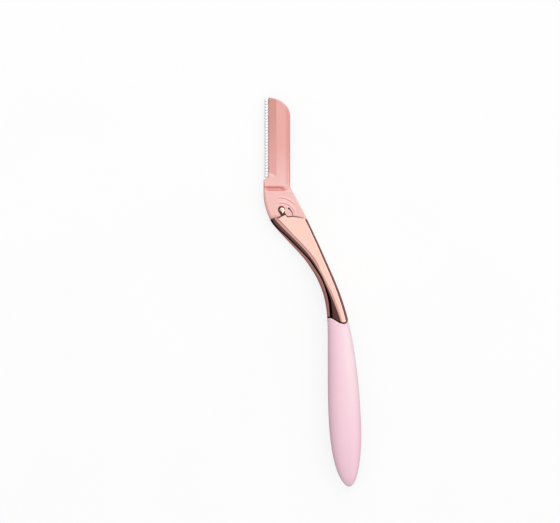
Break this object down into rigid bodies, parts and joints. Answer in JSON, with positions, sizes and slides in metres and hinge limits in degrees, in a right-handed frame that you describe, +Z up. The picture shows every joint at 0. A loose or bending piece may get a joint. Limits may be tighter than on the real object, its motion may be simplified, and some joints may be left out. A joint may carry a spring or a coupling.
{
  "type": "eyebrow razor",
  "caption": "Slim eyebrow razor: push-on blade head with comb guard, plated curved neck and a soft tapered grip.",
  "frame": {"origin": "middle of the part's footprint, on the table that it lies on", "axes": "+X across the razor, away from the guard side; +Y along it, from the grip's end to the tip of the head; +Z up, out of the face that shows the thumb ridges"},
  "size_m": [0.0376, 0.1496, 0.0106],
  "materials": {
    "head_plastic": "gloss",
    "blade_steel": "satin",
    "guard_steel": "polished",
    "insert_steel": "satin",
    "tongue_steel": "satin",
    "stud_plating": "polished",
    "neck_plating": "polished",
    "core_plastic": "matte",
    "soft_grip": "matte"
  },
  "bodies": {
    "handle": {"neck": "neck_plating", "tongue_plate": "tongue_steel", "latch_stud": "stud_plating", "tang_pin": "insert_steel", "core_front_half": "core_plastic", "core_back_half": "core_plastic", "balance_weight": "insert_steel", "grip_sleeve": "soft_grip"},
    "head": {"head_front_shell": "head_plastic", "head_back_shell": "head_plastic", "blade": "blade_steel", "blade_guard": "guard_steel"}
  },
  "joints": [
    {"name": "head_release", "type": "slide", "parent": "handle", "child": "head", "axis": [0, 1, 0], "range_m": [0, 0.012]}
  ]
}
